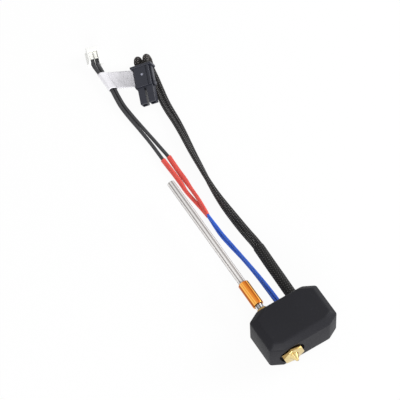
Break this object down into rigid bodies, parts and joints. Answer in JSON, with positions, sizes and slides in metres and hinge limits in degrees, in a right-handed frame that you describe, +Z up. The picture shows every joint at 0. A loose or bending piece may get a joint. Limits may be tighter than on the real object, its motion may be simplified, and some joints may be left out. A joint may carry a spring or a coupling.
{
  "type": "printer hotend assembly",
  "caption": "Printer hotend in a silicone sock, with nozzle, copper heat break, liner tube, heater and sensor leads and their plugs.",
  "frame": {"origin": "middle of the sock's flat back, on the surface that the part lies on", "axes": "+Z up from that surface; the nozzle points along -Y and the liner tube along +Y; +X along the sock's long side"},
  "size_m": [0.0333, 0.165, 0.016],
  "materials": {
    "sock_silicone": "matte",
    "block_aluminium": "satin",
    "set_screw_steel": "black oxide",
    "heater_sheath_steel": "satin",
    "sensor_capsule_steel": "satin",
    "nozzle_brass": "machined",
    "heatbreak_brass": "machined",
    "neck_steel": "polished",
    "sleeve_copper": "polished copper",
    "liner_polymer": "translucent",
    "plug_nylon": "satin",
    "plug_terminal_metal": "plated",
    "housing_nylon": "satin",
    "sensor_terminal_metal": "plated",
    "label_film": "film",
    "boot_braid": "fine braid",
    "heater_lead_left_braid": "fine braid",
    "heater_lead_right_braid": "fine braid",
    "sensor_lead_lower_blue": "smooth",
    "sensor_lead_upper_blue": "smooth",
    "joint_sleeve_upper_red": "shrunk film",
    "joint_sleeve_lower_red": "shrunk film",
    "sensor_wire_left_black": "smooth",
    "sensor_wire_right_black": "smooth"
  },
  "bodies": {
    "hotend": {"silicone_sock": "sock_silicone", "heater_block": "block_aluminium", "heater_set_screw": "set_screw_steel", "sensor_set_screw": "set_screw_steel", "heater_cartridge": "heater_sheath_steel", "sensor_cartridge": "sensor_capsule_steel", "nozzle": "nozzle_brass", "heatbreak_screw_end": "heatbreak_brass", "heatbreak_neck": "neck_steel", "heatbreak_sleeve": "sleeve_copper", "heater_plug_housing": "plug_nylon", "heater_terminal_left": "plug_terminal_metal", "heater_terminal_right": "plug_terminal_metal", "sensor_plug_housing": "housing_nylon", "sensor_terminal_left": "sensor_terminal_metal", "sensor_terminal_right": "sensor_terminal_metal", "flag_label": "label_film", "heater_boot": "boot_braid", "heater_lead_left": "heater_lead_left_braid", "heater_lead_right": "heater_lead_right_braid", "sensor_lead_lower": "sensor_lead_lower_blue", "sensor_lead_upper": "sensor_lead_upper_blue", "joint_sleeve_upper": "joint_sleeve_upper_red", "joint_sleeve_lower": "joint_sleeve_lower_red", "sensor_wire_left": "sensor_wire_left_black", "sensor_wire_right": "sensor_wire_right_black"},
    "liner": {"liner_tube": "liner_polymer"},
    "wing_left": {"heater_plug_wing_left": "plug_nylon"},
    "wing_right": {"heater_plug_wing_right": "plug_nylon"}
  },
  "joints": [
    {"name": "liner_slide", "type": "slide", "parent": "hotend", "child": "liner", "axis": [0, 1, 0], "range_m": [0, 0.008]},
    {"name": "wing_left_flex", "type": "hinge", "parent": "hotend", "child": "wing_left", "pos_m": [0.00932, 0.13129, 0.0047], "axis": [-0.3969, -0.0569, 0.9161], "range_deg": [0, 1.8], "stiffness_Nm_per_rad": 0.015},
    {"name": "wing_right_flex", "type": "hinge", "parent": "hotend", "child": "wing_right", "pos_m": [0.01536, 0.12847, 0.00714], "axis": [0.3969, 0.0569, -0.9161], "range_deg": [0, 1.8], "stiffness_Nm_per_rad": 0.015}
  ]
}
